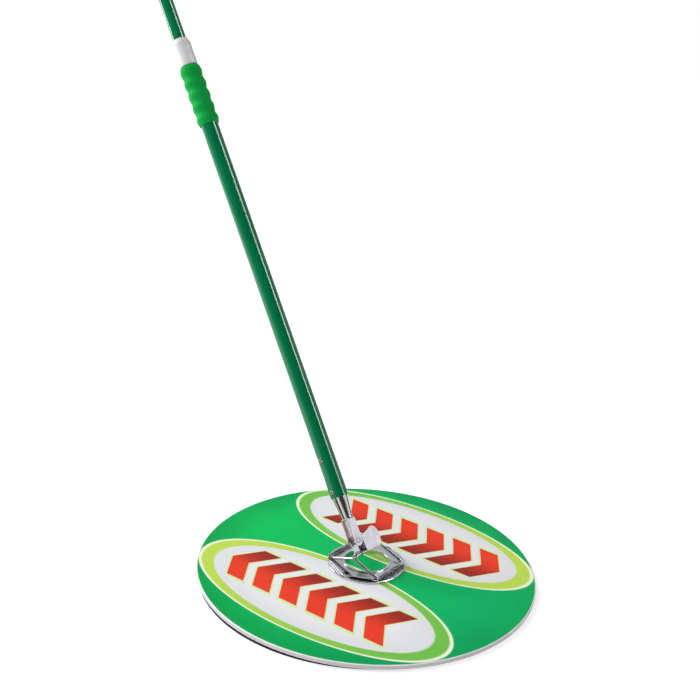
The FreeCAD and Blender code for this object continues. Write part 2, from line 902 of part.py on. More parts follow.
def headed_pin(label, radius, head_radius, head_thickness, low, high):
    """Pin with a domed head at each end; low and high are the ends of the shank."""
    return turned(
        label,
        [
            (0, low - head_thickness),
            (head_radius - head_thickness, low - head_thickness),
            (head_radius, low, head_thickness),
            (radius, low),
            (radius, high),
            (head_radius, high),
            (head_radius - head_thickness, high + head_thickness, head_thickness),
            (0, high + head_thickness),
        ],
    )


def swivel_pin():
    """Pin through the yoke's arms and the clip's lug."""
    outside = size("yoke_inner") + size("yoke_sheet")
    body = headed_pin(
        "swivel_pin", size("swivel_pin_radius"), size("pin_head_radius"), size("pin_head_thickness"),
        -outside, outside,
    )
    body.Placement = handle_frame * Placement(Vector(0, 0, 0), Rotation(Vector(0, 1, 0), QUARTER_TURN))
    return body


def pin_spacer():
    """Sleeve on the swivel pin that fills the yoke in front of the clip."""
    gap = size("lip_gap")
    low = gap - (yoke_middle + clip_back - size("clip_sheet"))
    body = disc(
        "pin_spacer", size("spacer_radius"), low, size("yoke_inner") - low,
        size("swivel_pin_radius") + size("pin_slack"),
    )
    body.Placement = handle_frame * Placement(Vector(0, 0, 0), Rotation(Vector(0, 1, 0), QUARTER_TURN))
    return body


def crown_rivet():
    """Rivet that joins the yoke's crown to the closed end of the ferrule."""
    crown_under = size("yoke_length") - size("yoke_sheet")
    plate_top = size("yoke_length") + size("ferrule_wall")
    body = headed_pin(
        "crown_rivet", size("rivet_radius"), size("rivet_head_radius"), size("rivet_head_thickness"),
        crown_under, plate_top,
    )
    body.Placement = handle_frame
    return body


# ---------------------------------------------------------------- handle


def tube_bore():
    return size("tube_radius") - size("tube_wall")


def ferrule():
    """Tapered socket riveted inside the tube's end, with crimps pressed into its taper."""
    wall = size("ferrule_wall")
    low = size("yoke_length")
    tip = size("ferrule_tip_radius")
    shoulder = size("ferrule_shoulder")
    hole = size("rivet_radius") + size("pin_slack")
    outer = tube_bore() - size("pin_slack")
    body = turned(
        "ferrule_blank",
        [
            (hole, low),
            (tip, low),
            (outer, shoulder),
            (outer, size("ferrule_end")),
            (outer - wall, size("ferrule_end")),
            (outer - wall, shoulder),
            (tip - wall, low + wall),
            (hole, low + wall),
        ],
    )
    drill(body, "XZ_Plane", side_rivet_holes(), reverse=True)
    crimped = doc.addObject("Part::Cut", "ferrule")
    crimped.Label = "ferrule"
    crimped.Base = body
    crimped.Tool = crimp_tools(tip, outer, low, shoulder)
    crimped.Placement = handle_frame
    return crimped


def crimp_tools(tip, outer, low, shoulder):
    """Slanted round bars that press flats into the taper; each lies along the taper's side."""
    radius = size("crimp_radius")
    tool = doc.addObject("Part::Cylinder", "crimp_source")
    tool.setExpression("Radius", radius.formula)
    tool.setExpression("Height", (shoulder - low).formula)
    slope = math.degrees(math.atan2((outer - tip).number, (shoulder - low).number))
    reach = (tip + radius - size("crimp_depth")).number
    lean = Placement(Vector(reach, 0, low.number), Rotation(Vector(0, 1, 0), slope))
    step = FULL_TURN / size("crimp_count").number
    places = [
        Placement(Vector(0, 0, 0), Rotation(Vector(0, 0, 1), step * index)) * lean
        for index in range(int(size("crimp_count").number))
    ]
    return group("crimp_tools", tool, places)


def side_rivet_heights():
    first = size("tube_start") + size("side_rivet_first")
    return (first, first + size("side_rivet_step"))


def side_rivet_holes():
    """Holes for the two side rivets, as seen on the XZ plane."""
    radius = size("rivet_radius")
    return [(0, height, radius + size("pin_slack")) for height in side_rivet_heights()]


def side_rivets():
    """Two hollow rivets through one wall of the tube and the ferrule."""
    surface = size("tube_radius")
    inside = tube_bore() - size("ferrule_wall") * 2
    hole = size("side_rivet_hole")
    head = size("side_rivet_head")
    dome = size("rivet_head_thickness")
    rivet = turned(
        "side_rivet_source",
        [
            (hole, inside),
            (size("rivet_radius"), inside),
            (size("rivet_radius"), surface),
            (head, surface),
            (head - dome, surface + dome, dome),
            (hole, surface + dome),
        ],
    )
    outward = Rotation(Vector(1, 0, 0), QUARTER_TURN)
    return group(
        "side_rivets", rivet,
        [handle_frame * Placement(Vector(0, 0, height.number), outward) for height in side_rivet_heights()],
    )


def outer_tube():
    """Lower tube of the handle."""
    start = size("tube_start")
    body = disc("outer_tube", size("tube_radius"), start, size("tube_end") - start, tube_bore())
    drill(body, "XZ_Plane", side_rivet_holes(), reverse=True)
    body.Placement = handle_frame
    return body


def rounding(centre, radius, start):
    """Quarter circle about a centre in the XZ plane, beginning at an angle in degrees."""
    spots = [math.radians(start + turn) for turn in (0, QUARTER_TURN / 2, QUARTER_TURN)]
    ends = [centre + Vector(math.cos(spot), 0, math.sin(spot)) * radius for spot in spots]
    return Part.Arc(*ends).toShape()


def grip():
    """Foam grip with soft waves for the fingers and rounded ends."""
    start = size("grip_start").number
    length = size("grip_length").number
    radius = size("grip_radius").number
    wave = size("grip_wave").number
    waves = int(size("grip_waves").number)
    bore = size("tube_radius").number
    top_round = size("grip_round").number
    low_round = top_round / 2
    samples = waves * WAVE_SAMPLES
    skin_length = length - top_round - low_round
    spots = []
    for index in range(samples + 1):
        swell = wave * math.cos(2 * math.pi * index / WAVE_SAMPLES)
        spots.append(Vector(radius - swell, 0, start + low_round + skin_length * index / samples))
    skin = Part.BSplineCurve()
    skin.interpolate(spots)
    crest = radius - wave
    low_centre = Vector(crest - low_round, 0, start + low_round)
    top_centre = Vector(crest - top_round, 0, start + length - top_round)
    low_bore = Vector(bore, 0, start)
    top_bore = Vector(bore, 0, start + length)
    edges = [
        Part.LineSegment(low_bore, Vector(crest - low_round, 0, start)).toShape(),
        rounding(low_centre, low_round, -QUARTER_TURN),
        skin.toShape(),
        rounding(top_centre, top_round, 0),
        Part.LineSegment(Vector(crest - top_round, 0, start + length), top_bore).toShape(),
        Part.LineSegment(top_bore, low_bore).toShape(),
    ]
    outline = Part.Face(Part.Wire(edges))
    shape = outline.revolve(Vector(0, 0, 0), Vector(0, 0, 1), FULL_TURN)
    return solid_feature("grip", shape, handle_frame)


def lock_collar():
    """Plastic collar on the tube's upper end; the inner tube slides through its narrow mouth."""
    outer = size("collar_skin")
    start = size("collar_start")
    finish = size("collar_end")
    mouth = size("inner_radius") + size("slide_slack")
    curve = size("edge_round")
    body = turned(
        "lock_collar",
        [
            (size("tube_radius"), start),
            (outer - curve, start),
            (outer, start + curve, curve),
            (outer, finish - size("collar_taper")),
            (size("collar_mouth"), finish),
            (mouth, finish),
            (mouth, size("tube_end")),
            (size("tube_radius"), size("tube_end")),
        ],
    )
    body.Placement = handle_frame
    return body


def inner_tube():
    """Upper tube, sliding in the lower one."""
    start = size("inner_start")
    radius = size("inner_radius")
    body = disc("inner_tube", radius, start, size("inner_end") - start, radius - size("inner_wall"))
    body.Placement = handle_frame
    return body


def lock_spindle():
    """Plug in the inner tube's lower end with a tapered core below it."""
    start = size("inner_start")
    plug = size("inner_radius") - size("inner_wall")
    neck = start - size("plug_flange")
    low = neck - size("sleeve_length")
    body = turned(
        "lock_spindle",
        [
            (0, low - size("core_washer")),
            (size("core_top_radius"), low - size("core_washer")),
            (size("core_top_radius"), low),
            (size("core_bottom_radius"), low),
            (size("core_top_radius"), neck),
            (size("inner_radius"), neck),
            (size("inner_radius"), start),
            (plug, start),
            (plug, start + size("plug_length")),
            (0, start + size("plug_length")),
        ],
    )
    body.Placement = handle_frame
    return body


def lock_sleeve():
    """Split sleeve that the tapered core spreads against the lower tube."""
    gap = size("slide_slack")
    neck = size("inner_start") - size("plug_flange") - gap
    low = size("inner_start") - size("plug_flange") - size("sleeve_length") + gap
    outer = tube_bore() - size("pin_slack")
    body = turned(
        "lock_sleeve",
        [
            (size("core_bottom_radius") + gap, low),
            (outer, low),
            (outer, neck),
            (size("core_top_radius") + gap, neck),
        ],
    )
    half = size("sleeve_slot") / 2
    trim(
        body, "XY_Plane", low, neck - low,
        [(0, -half), (outer + gap, -half), (outer + gap, half), (0, half)],
    )
    body.Placement = handle_frame
    return body


def end_cap():
    """Plastic cap on the handle's end with a hanging hole."""
    end = size("inner_end")
    skirt = end - size("cap_skirt")
    radius = size("cap_radius")
    top = end + size("cap_height")
    body = turned(
        "end_cap",
        [
            (size("inner_radius"), skirt),
            (radius, skirt),
            (radius, top - radius),
            (0, top, radius),
            (0, end),
            (size("inner_radius"), end),
        ],
    )
    drill(body, "YZ_Plane", [(0, end + size("hang_height"), size("hang_radius"))], both_ways=True)
    body.Placement = handle_frame
    return body


MAKERS = [
    floor_pad, hook_layer, board, printed_sheet, tee_nuts,
    bearing_base, base_screws, retaining_rim, bearing_balls, ball_cage, turntable_plate,
    cradle_wires, crossbar, end_collars,
    clip_plate, lever_pin, lever_spring, thumb_lever,
    yoke, swivel_pin, pin_spacer, crown_rivet,
    ferrule, side_rivets, outer_tube, grip, lock_collar,
    inner_tube, lock_spindle, lock_sleeve, end_cap,
]


def check(node):
    """Stop on anything that did not build as a sound solid."""
    shape = node.Shape
    if shape.isNull() or not shape.isValid() or not shape.Solids:
        raise ValueError(f"{node.Label} is not a sound solid")


def main():
    nodes = [maker() for maker in MAKERS]
    doc.recompute()
    for item in doc.Objects:
        if "Invalid" in item.State or "Error" in item.State:
            raise ValueError(f"{item.Label}: {item.State}")
    os.makedirs("parts", exist_ok=True)
    for node in nodes:
        check(node)
        node.Shape.exportStep(f"parts/{node.Label}.step")


main()
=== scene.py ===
"""Looks of the round push mop: materials, a soft pad and grip, a plain studio and a camera."""
import json
import math

import bmesh
import bpy
import numpy as np
from mathutils import Matrix, Vector


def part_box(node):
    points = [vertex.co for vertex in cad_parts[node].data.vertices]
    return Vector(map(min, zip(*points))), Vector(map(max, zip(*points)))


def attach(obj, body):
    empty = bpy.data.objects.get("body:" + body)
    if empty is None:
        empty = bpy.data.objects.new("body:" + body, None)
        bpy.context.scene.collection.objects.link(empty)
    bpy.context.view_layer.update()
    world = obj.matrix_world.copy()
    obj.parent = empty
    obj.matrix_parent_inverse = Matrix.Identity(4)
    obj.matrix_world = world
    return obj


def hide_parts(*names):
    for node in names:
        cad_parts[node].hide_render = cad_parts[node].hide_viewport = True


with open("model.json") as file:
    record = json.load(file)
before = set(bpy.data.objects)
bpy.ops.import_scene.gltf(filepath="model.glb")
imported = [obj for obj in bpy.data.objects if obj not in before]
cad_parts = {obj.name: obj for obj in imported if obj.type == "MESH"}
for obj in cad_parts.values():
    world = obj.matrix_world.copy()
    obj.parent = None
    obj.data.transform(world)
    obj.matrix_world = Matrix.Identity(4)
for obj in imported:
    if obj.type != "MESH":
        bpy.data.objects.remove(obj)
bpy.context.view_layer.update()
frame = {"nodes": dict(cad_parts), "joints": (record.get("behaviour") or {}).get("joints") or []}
nodes = frame["nodes"]

SENSOR_MM = 36
LENS_MM = 55.54
CAMERA_PLACE = Vector((-0.0546, -1.7249, 1.0115))
CAMERA_PITCH_DEG = 18.934
CAMERA_ROLL_DEG = -3.719
DECAL_TURN_DEG = 35


# ---------------------------------------------------------------- node-building helpers


class Graph:
    """A material's node tree with short ways to add maths and texture nodes."""

    def __init__(self, name):
        self.material = bpy.data.materials.new(name)
        self.material.use_nodes = True
        self.tree = self.material.node_tree
        self.shader = self.tree.nodes["Principled BSDF"]

    def node(self, kind, **settings):
        made = self.tree.nodes.new(kind)
        for name, value in settings.items():
            setattr(made, name, value)
        return made

    def feed(self, socket, value):
        if isinstance(value, bpy.types.NodeSocket):
            self.tree.links.new(value, socket)
        else:
            socket.default_value = value

    def maths(self, operation, first, second=0.0):
        made = self.node("ShaderNodeMath", operation=operation)
        for socket, value in zip(made.inputs, (first, second)):
            self.feed(socket, value)
        return made.outputs[0]

    def add(self, first, second):
        return self.maths("ADD", first, second)

    def sub(self, first, second):
        return self.maths("SUBTRACT", first, second)

    def times(self, first, second):
        return self.maths("MULTIPLY", first, second)

    def step(self, value, start, end):
        """Smooth rise from 0 at start to 1 at end."""
        made = self.node("ShaderNodeMapRange", interpolation_type="SMOOTHSTEP")
        self.feed(made.inputs["Value"], value)
        made.inputs["From Min"].default_value = start
        made.inputs["From Max"].default_value = end
        return made.outputs["Result"]

    def mix(self, factor, first, second):
        """Colour mix: first at 0, second at 1."""
        made = self.node("ShaderNodeMix", data_type="RGBA")
        self.feed(made.inputs[0], factor)
        self.feed(made.inputs[6], first)
        self.feed(made.inputs[7], second)
        return made.outputs[2]

    def place(self):
        """Object coordinates, in metres in the row frame."""
        return self.node("ShaderNodeTexCoord").outputs["Object"]

    def axes(self, vector):
        made = self.node("ShaderNodeSeparateXYZ")
        self.feed(made.inputs[0], vector)
        return made.outputs

    def stretched(self, vector, matrix):
        """The vector in a turned and scaled set of axes; matrix rows are the new axes."""
        parts = []
        for row in matrix:
            dot = self.node("ShaderNodeVectorMath", operation="DOT_PRODUCT")
            self.feed(dot.inputs[0], vector)
            dot.inputs[1].default_value = row
            parts.append(dot.outputs["Value"])
        joined = self.node("ShaderNodeCombineXYZ")
        for socket, part in zip(joined.inputs, parts):
            self.feed(socket, part)
        return joined.outputs[0]

    def noise(self, vector, scale, detail=4.0, roughness=0.5):
        made = self.node("ShaderNodeTexNoise")
        self.feed(made.inputs["Vector"], vector)
        made.inputs["Scale"].default_value = scale
        made.inputs["Detail"].default_value = detail
        made.inputs["Roughness"].default_value = roughness
        return made.outputs["Fac"]

    def cells(self, vector, scale):
        made = self.node("ShaderNodeTexVoronoi")
        self.feed(made.inputs["Vector"], vector)
        made.inputs["Scale"].default_value = scale
        return made.outputs["Distance"]

    def bump(self, height, strength, distance):
        made = self.node("ShaderNodeBump")
        self.feed(made.inputs["Height"], height)
        made.inputs["Strength"].default_value = strength
        made.inputs["Distance"].default_value = distance
        self.feed(self.shader.inputs["Normal"], made.outputs["Normal"])

    def set(self, **values):
        for name, value in values.items():
            self.feed(self.shader.inputs[name.replace("_", " ")], value)


def linear(red, green, blue):
    """Scene colour of an 8-bit screen colour."""
    def one(value):
        value /= 255
        return value / 12.92 if value <= 0.04045 else ((value + 0.055) / 1.055) ** 2.4
    return (one(red), one(green), one(blue), 1.0)


# ---------------------------------------------------------------- directions in the frame


def joint(name):
    return next(item for item in frame["joints"] if item["name"] == name)


HANDLE_AXIS = Vector(joint("telescope_slide")["axis"]).normalized()
SWIVEL_AXIS = Vector(joint("yoke_swivel")["axis"]).normalized()
HANDLE_SIDE = HANDLE_AXIS.cross(SWIVEL_AXIS).normalized()
HANDLE_AXES = [tuple(SWIVEL_AXIS), tuple(HANDLE_SIDE), tuple(HANDLE_AXIS)]
SWIVEL_PIN = Vector(joint("yoke_swivel")["pos_m"])


# ---------------------------------------------------------------- materials


def printed_film():
    """Green film with two pale ovals in lime borders, each with a row of red arrowheads for the spin."""
    g = Graph("printed_film")
    place = g.place()
    turn = math.radians(DECAL_TURN_DEG)
    radius = -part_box("printed_sheet")[0].x
    oval_middle = 0.462
    oval_half_length = 0.85
    oval_half_height = 0.385
    along_axis = (math.cos(turn) / radius, -math.sin(turn) / radius, 0)
    across_axis = (math.sin(turn) / radius, math.cos(turn) / radius, 0)
    along, across, _height = g.axes(g.stretched(place, (along_axis, across_axis, (0, 0, 1))))
    colour = printed_ground_and_shade(g, place, along, across)
    side = g.maths("SIGN", across)
    along = g.times(along, side)
    across = g.sub(g.times(across, side), oval_middle)
    oval = g.maths("SQRT", g.add(
        g.maths("POWER", g.maths("DIVIDE", along, oval_half_length), 2.0),
        g.maths("POWER", g.maths("DIVIDE", across, oval_half_height), 2.0),
    ))
    lime = g.mix(g.step(along, -0.8, 0.8), linear(112, 190, 74), linear(190, 218, 84))
    white = g.mix(g.step(oval, 0.5, 0.9), linear(232, 232, 234), linear(222, 223, 226))
    colour = g.mix(g.step(oval, 1.010, 1.002), colour, linear(234, 244, 214))
    colour = g.mix(g.step(oval, 0.988, 0.970), colour, lime)
    colour = g.mix(g.step(oval, 0.885, 0.862), colour, white)
    colour = arrowheads(g, colour, along, across)
    scuff = g.noise(place, 90.0, 5.0, 0.65)
    g.set(Base_Color=colour, Roughness=g.add(0.38, g.times(scuff, 0.2)))
    g.shader.inputs["Specular IOR Level"].default_value = 0.1
    g.bump(g.noise(place, 900.0, 2.0), 0.05, 0.0004)
    return g.material


def printed_ground_and_shade(g, place, along, across):
    """Green print ground with a soft sweep of painted light and shade across the disc, painted shade darker
    towards the rim, and a random mottle.
    """
    # Painted light and shade: a soft sweep from lighter to darker green across the disc.
    sweep = g.step(g.add(along, g.times(across, 0.6)), -0.9, 0.9)
    ground = g.mix(sweep, linear(0, 184, 88), linear(0, 168, 100))
    rim = g.maths("SQRT", g.add(g.times(along, along), g.times(across, across)))
    # Painted shade: the green is darkened towards the rim.
    ground = g.mix(g.times(g.step(rim, 0.72, 1.0), 0.55), ground, linear(0, 134, 72))
    return g.mix(g.times(g.step(g.noise(place, 5.0, 2.0), 0.4, 0.7), 0.35), ground, linear(4, 198, 96))


def arrowheads(g, colour, along, across):
    """Six red arrowheads in a row, each with a thin pale outline."""
    row_middle = 0.1
    pitch = 0.195
    slope = 0.62
    tall = g.maths("ABSOLUTE", across)
    swept = g.add(along, g.times(tall, slope))
    count = g.maths("DIVIDE", g.sub(swept, row_middle), pitch)
    inside = g.step(g.maths("ABSOLUTE", g.add(g.maths("FLOOR", count), 0.5)), 3.2, 2.8)
    near = g.maths("ABSOLUTE", g.sub(g.maths("FRACT", count), 0.5))

    def head(half_width, half_height):
        wide = g.step(near, half_width + 0.012, half_width - 0.012)
        high = g.step(tall, half_height + 0.003, half_height - 0.003)
        return g.times(g.times(wide, high), inside)

    colour = g.mix(head(0.385, 0.196), colour, linear(214, 234, 180))
    red = g.mix(g.step(across, -0.15, 0.08), linear(150, 44, 36), linear(232, 64, 40))
    return g.mix(head(0.325, 0.172), colour, red)


def board_foam():
    """White foam board with faint cell marks: a bright top, and a cut edge painted greyer than the top as
    painted shade.
    """
    g = Graph("board_foam")
    place = g.place()
    grain = g.noise(place, 700.0, 3.0)
    tone = g.noise(place, 14.0, 4.0)
    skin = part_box("board")[1].z - 0.001
    height = g.axes(place)[2]
    # Painted shade: the side faces get greyer colours than the top, with a random tone between two greys.
    edge = g.mix(tone, linear(202, 197, 201), linear(178, 173, 177))
    g.set(
        Base_Color=g.mix(g.step(height, skin - 0.0004, skin + 0.0004), edge, linear(236, 240, 238)),
        Roughness=g.add(0.42, g.times(grain, 0.2)),
    )
    g.bump(grain, 0.18, 0.0006)
    return g.material


def pad_fabric():
    """Dark microfibre with a knobbly pile."""
    g = Graph("pad_fabric")
    place = g.place()
    pile = g.cells(place, 420.0)
    g.set(
        Base_Color=g.mix(pile, linear(4, 4, 5), linear(26, 26, 29)),
        Roughness=g.add(0.82, g.times(g.noise(place, 60.0), 0.15)),
    )
    g.shader.inputs["Sheen Weight"].default_value = 0.1
    g.bump(pile, 0.9, 0.0015)
    return g.material


def hook_tape():
    g = Graph("hook_tape")
    place = g.place()
    hooks = g.cells(place, 900.0)
    g.set(
        Base_Color=g.mix(hooks, linear(18, 18, 20), linear(52, 52, 56)),
        Roughness=g.add(0.55, g.times(hooks, 0.3)),
    )
    g.bump(hooks, 0.8, 0.0008)
    return g.material


def bright_steel(name, tint, rough, lines):
    """Chromed sheet with faint rolling lines, stains and soft dents."""
    g = Graph(name)
    place = g.place()
    rolled = g.noise(g.stretched(place, [(lines, 0, 0), (0, 14, 0), (0, 0, lines)]), 1.0, 3.0)
    stain = g.noise(place, 55.0, 5.0, 0.6)
    g.set(
        Base_Color=g.mix(g.step(stain, 0.3, 0.75), linear(*tint), linear(*[value * 0.92 for value in tint])),
        Roughness=g.add(rough, g.times(rolled, 0.14)),
    )
    g.shader.inputs["Metallic"].default_value = 1.0
    g.bump(g.add(g.times(rolled, 0.4), g.noise(place, 90.0, 1.0)), 0.05, 0.0006)
    return g.material


def zinc_steel():
    """Zinc plate: a mottled spangle."""
    g = Graph("zinc_steel")
    place = g.place()
    spangle = g.cells(place, 380.0)
    g.set(
        Base_Color=g.mix(spangle, linear(176, 178, 182), linear(126, 128, 134)),
        Roughness=g.add(0.26, g.times(spangle, 0.22)),
    )
    g.shader.inputs["Metallic"].default_value = 1.0
    g.bump(g.noise(place, 500.0), 0.1, 0.0004)
    return g.material


def tube_paint():
    """Gloss enamel with a faint orange-peel and long scuffs."""
    g = Graph("tube_paint")
    place = g.place()
    lengthwise = g.stretched(place, [tuple(Vector(a) * s) for a, s in zip(HANDLE_AXES, (180, 180, 6))])
    scuff = g.noise(lengthwise, 1.0, 5.0, 0.6)
    tone = g.noise(place, 9.0, 3.0)
    g.set(
        Base_Color=g.mix(tone, linear(0, 106, 64), linear(0, 118, 74)),
        Roughness=g.add(0.12, g.times(g.step(scuff, 0.5, 0.85), 0.2)),
    )
    g.shader.inputs["Specular IOR Level"].default_value = 0.4
    g.bump(g.noise(place, 260.0, 2.0), 0.03, 0.0006)
    return g.material


def grip_foam():
    """Closed-cell foam: fine pores and a soft sheen."""
    g = Graph("grip_foam")
    place = g.place()
    pores = g.cells(place, 1100.0)
    tone = g.noise(place, 40.0, 4.0)
    g.set(
        Base_Color=g.mix(tone, linear(0, 166, 70), linear(0, 142, 56)),
        Roughness=g.add(0.62, g.times(pores, 0.3)),
    )
    g.shader.inputs["Specular IOR Level"].default_value = 0.2
    g.bump(pores, 0.45, 0.0007)
    return g.material


def moulded_plastic(name, light, dark, rough):
    """Moulded plastic with a fine spark texture."""
    g = Graph(name)
    place = g.place()
    spark = g.noise(place, 1300.0, 2.0)
    g.set(
        Base_Color=g.mix(g.noise(place, 30.0, 4.0), linear(*light), linear(*dark)),
        Roughness=g.add(rough, g.times(spark, 0.2)),
    )
    g.bump(spark, 0.22, 0.0004)
    return g.material


# ---------------------------------------------------------------- pieces


def soft_pad():
    """Floor pad with rounded rims and a slightly uneven pile edge."""
    low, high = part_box("floor_pad")
    centre = (low + high) / 2
    radius = (high.x - low.x) / 2
    thick = high.z - low.z
    around = 720
    ripple_height = 0.0006
    golden_angle = 2.399
    rim_growth = 0.0005
    ring_shape = [
        (0.55, 0.0),
        (0.985, 0.0),
        (0.996, 0.1),
        (1.0, 0.42),
        (1.0, 0.75),
        (0.997, 0.93),
        (0.985, 1.0),
        (0.55, 1.0),
    ]
    mesh = bmesh.new()
    rings = []
    for reach, lift in ring_shape:
        ring = []
        for index in range(around):
            turn = 2 * math.pi * index / around
            ripple = ripple_height * math.sin(index * golden_angle) * math.sin(math.pi * lift)
            distance = radius * reach + ripple + rim_growth
            across = centre.x + distance * math.cos(turn)
            deep = centre.y + distance * math.sin(turn)
            ring.append(mesh.verts.new((across, deep, low.z + thick * lift)))
        rings.append(ring)
    for inner, outer in zip(rings, rings[1:]):
        for index in range(around):
            after = (index + 1) % around
            mesh.faces.new((inner[index], inner[after], outer[after], outer[index]))
    for ring, height in ((rings[0], low.z), (rings[-1], high.z)):
        middle = mesh.verts.new((centre.x, centre.y, height))
        for index in range(around):
            mesh.faces.new((middle, ring[index], ring[(index + 1) % around]))
    bmesh.ops.recalc_face_normals(mesh, faces=mesh.faces)
    return finished("soft_pad", mesh)


def along_handle(node):
    """Where a round node of the handle starts and ends along the handle, and its inner and outer radius."""
    spots = np.array([spot.co - SWIVEL_PIN for spot in nodes[node].data.vertices])
    reach = spots @ np.array(HANDLE_AXIS)
    radius = np.linalg.norm(spots - np.outer(reach, HANDLE_AXIS), axis=1)
    return reach.min(), reach.max(), radius.min(), radius.max()


def foam_grip():
    """Foam sleeve with finger waves, rounded ends and a skin that is never quite even."""
    start, end, bore, outer = along_handle("grip")
    waves = 5
    wave = 0.0011
    inset = 0.0003
    end_round = 0.0035
    dent_depth = 0.00018
    steps = 150
    around = 96
    length = end - start
    profile = []
    for index in range(steps + 1):
        share = index / steps
        from_end = min(share, 1 - share) * length
        ease = math.sqrt(max(0.0, 1 - (1 - min(from_end / end_round, 1)) ** 2))
        swell = wave * (1 - math.cos(2 * math.pi * waves * share + math.pi))
        profile.append((share, outer - inset - swell - end_round * (1 - ease)))
    mesh = bmesh.new()
    rings = []
    for share, radius in [(0, bore)] + profile + [(1, bore)]:
        ring = []
        for index in range(around):
            turn = 2 * math.pi * index / around
            dent = dent_depth * math.sin(5 * turn + 40 * share) * math.sin(11 * turn - 63 * share)
            outward = SWIVEL_AXIS * math.cos(turn) + HANDLE_SIDE * math.sin(turn)
            reach = radius + (dent if radius > bore else 0)
            ring.append(mesh.verts.new(SWIVEL_PIN + HANDLE_AXIS * (start + share * length) + outward * reach))
        rings.append(ring)
    for low_ring, high_ring in zip(rings, rings[1:] + rings[:1]):
        for index in range(around):
            after = (index + 1) % around
            mesh.faces.new((low_ring[index], low_ring[after], high_ring[after], high_ring[index]))
    bmesh.ops.recalc_face_normals(mesh, faces=mesh.faces)
    return finished("foam_grip", mesh)


def finished(name, mesh):
    """Object from a bmesh, smooth shaded."""
    data = bpy.data.meshes.new(name)
    mesh.to_mesh(data)
    mesh.free()
    for polygon in data.polygons:
        polygon.use_smooth = True
    piece = bpy.data.objects.new(name, data)
    bpy.context.scene.collection.objects.link(piece)
    return piece


def dress(node, material):
    """Give a CAD node its material."""
    data = nodes[node].data
    data.materials.clear()
    data.materials.append(material)


# ---------------------------------------------------------------- studio


def floor():
    """Pale floor that reaches past the view on every side."""
    mesh = bmesh.new()
    half = 14.0
    below = -0.0002
    corners = ((-half, -half), (half, -half), (half, half), (-half, half))
    mesh.faces.new([mesh.verts.new((x, y, below)) for x, y in corners])
    piece = finished("floor", mesh)
    g = Graph("floor")
    g.set(
        Base_Color=g.mix(g.noise(g.place(), 3.0), (0.62, 0.62, 0.62, 1), (0.64, 0.64, 0.64, 1)),
        Roughness=0.95,
    )
    g.shader.inputs["Emission Color"].default_value = (1, 1, 1, 1)
    g.shader.inputs["Emission Strength"].default_value = 0.62
    g.shader.inputs["Specular IOR Level"].default_value = 0.0
    piece.data.materials.append(g.material)


def lamp(name, place, target, size, power):
    """Soft rectangular lamp that faces its target; size is (width, height)."""
    data = bpy.data.lights.new(name, "AREA")
    data.shape = "RECTANGLE"
    data.size, data.size_y = size
    data.energy = power
    piece = bpy.data.objects.new(name, data)
    piece.location = place
    piece.rotation_mode = "QUATERNION"
    piece.rotation_quaternion = (Vector(target) - Vector(place)).to_track_quat("-Z", "Y")
    bpy.context.scene.collection.objects.link(piece)


def sun(place, power):
    data = bpy.data.lights.new("sun", "SUN")
    data.energy = power
    data.angle = math.radians(60)
    piece = bpy.data.objects.new("sun", data)
    piece.visible_glossy = False
    piece.rotation_mode = "QUATERNION"
    piece.rotation_quaternion = (-Vector(place)).to_track_quat("-Z", "Y")
    bpy.context.scene.collection.objects.link(piece)


def studio_world():
    """White room; in its mirror image the right wall is bright, the back is grey and the rest is dim."""
    world = bpy.data.worlds.new("studio")
    world.use_nodes = True
    tree = world.node_tree
    white = tree.nodes["Background"]
    white.inputs["Color"].default_value = (1, 1, 1, 1)
    white.inputs["Strength"].default_value = 0.3
    mirrored = tree.nodes.new("ShaderNodeBackground")
    seen = tree.nodes.new("ShaderNodeBackground")
    seen.inputs["Color"].default_value = (1, 1, 1, 1)
    tree.links.new(mirrored_walls(tree), mirrored.inputs["Color"])
    path = tree.nodes.new("ShaderNodeLightPath")
    glossy = tree.nodes.new("ShaderNodeMixShader")
    tree.links.new(path.outputs["Is Glossy Ray"], glossy.inputs[0])
    tree.links.new(white.outputs[0], glossy.inputs[1])
    tree.links.new(mirrored.outputs[0], glossy.inputs[2])
    camera_seen = tree.nodes.new("ShaderNodeMixShader")
    tree.links.new(path.outputs["Is Camera Ray"], camera_seen.inputs[0])
    tree.links.new(glossy.outputs[0], camera_seen.inputs[1])
    tree.links.new(seen.outputs[0], camera_seen.inputs[2])
    tree.links.new(camera_seen.outputs[0], tree.nodes["World Output"].inputs["Surface"])
    bpy.context.scene.world = world


